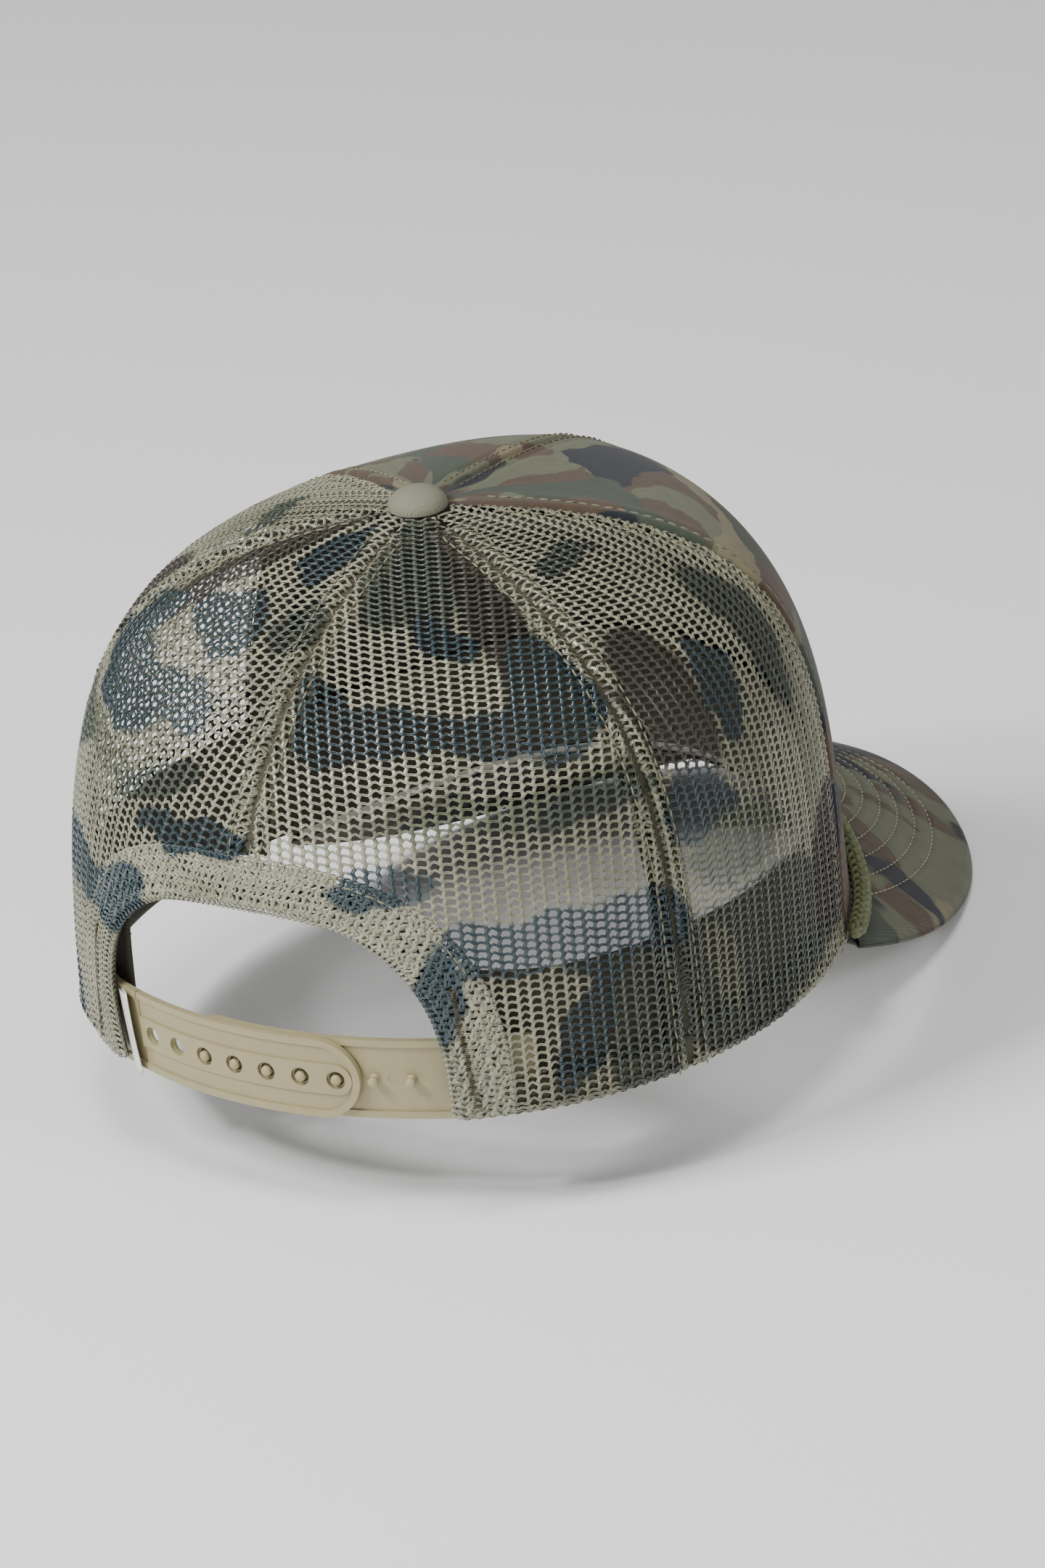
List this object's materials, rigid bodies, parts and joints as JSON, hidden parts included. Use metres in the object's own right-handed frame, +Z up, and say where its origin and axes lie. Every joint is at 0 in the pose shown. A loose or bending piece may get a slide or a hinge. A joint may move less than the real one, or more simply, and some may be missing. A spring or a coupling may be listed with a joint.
{
  "type": "trucker mesh cap",
  "caption": "Trucker cap: two woven front panels, four mesh panels, curved visor with a rope, covered button and a plastic snap strap across the rear opening.",
  "frame": {"origin": "centre of the head opening, on the plane of the rim", "axes": "+Z up through the crown, -Y towards the tip of the visor, +X to the wearer's left"},
  "size_m": [0.174, 0.2678, 0.1442],
  "materials": {
    "woven_camo": "woven cloth printed with soft-edged blotches of brown, olive, khaki and slate",
    "knit_camo": "open polyester knit with glossy strands, printed with the same blotches",
    "knit_hem": "folded knit",
    "foam_lining": "dark foam laminate",
    "tape": "narrow woven tape",
    "band_twill": "dark olive-brown twill",
    "board": "stiff polyethylene board",
    "under_cloth": "woven cloth",
    "braided_cord": "braided olive cord",
    "button_cloth": "fine khaki twill stretched over a metal shell",
    "button_metal": "pressed steel rivet",
    "thread": "polyester thread",
    "snap_plastic": "khaki moulded polyethylene, satin",
    "satin": "white satin ribbon"
  },
  "bodies": {
    "cap": {"front_panel_left": "woven_camo", "front_panel_right": "woven_camo", "side_mesh_left": "knit_camo", "side_mesh_right": "knit_camo", "rear_mesh_left": "knit_camo", "rear_mesh_right": "knit_camo", "front_lining_left": "foam_lining", "front_lining_right": "foam_lining", "seam_tape_front": "tape", "seam_tape_front_left": "tape", "seam_tape_front_right": "tape", "seam_tape_rear_left": "tape", "seam_tape_rear_right": "tape", "seam_tape_back": "tape", "sweatband": "band_twill", "opening_hem": "knit_hem", "opening_binding": "tape", "visor_board": "board", "visor_top_cover": "woven_camo", "visor_under_cover": "under_cloth", "front_rope": "braided_cord", "button_cover": "button_cloth", "button_back": "button_metal", "bar_tack_left": "thread", "bar_tack_right": "thread", "holed_strap_tab": "snap_plastic", "peg_strap_tab": "snap_plastic", "care_label": "satin"},
    "holed_strap": {"holed_strap": "snap_plastic"},
    "peg_strap": {"peg_strap": "snap_plastic"}
  },
  "joints": [
    {"name": "holed_strap_bend", "type": "hinge", "parent": "cap", "child": "holed_strap", "pos_m": [0.03652, 0.08246, 0.00788], "axis": [-0.0296, -0.0708, -0.9971], "range_deg": [0, 75], "stiffness_Nm_per_rad": 0.01},
    {"name": "peg_strap_bend", "type": "hinge", "parent": "cap", "child": "peg_strap", "pos_m": [-0.04723, 0.07357, 0.00812], "axis": [0.0396, -0.0657, -0.9971], "range_deg": [0, 60], "stiffness_Nm_per_rad": 0.01}
  ]
}
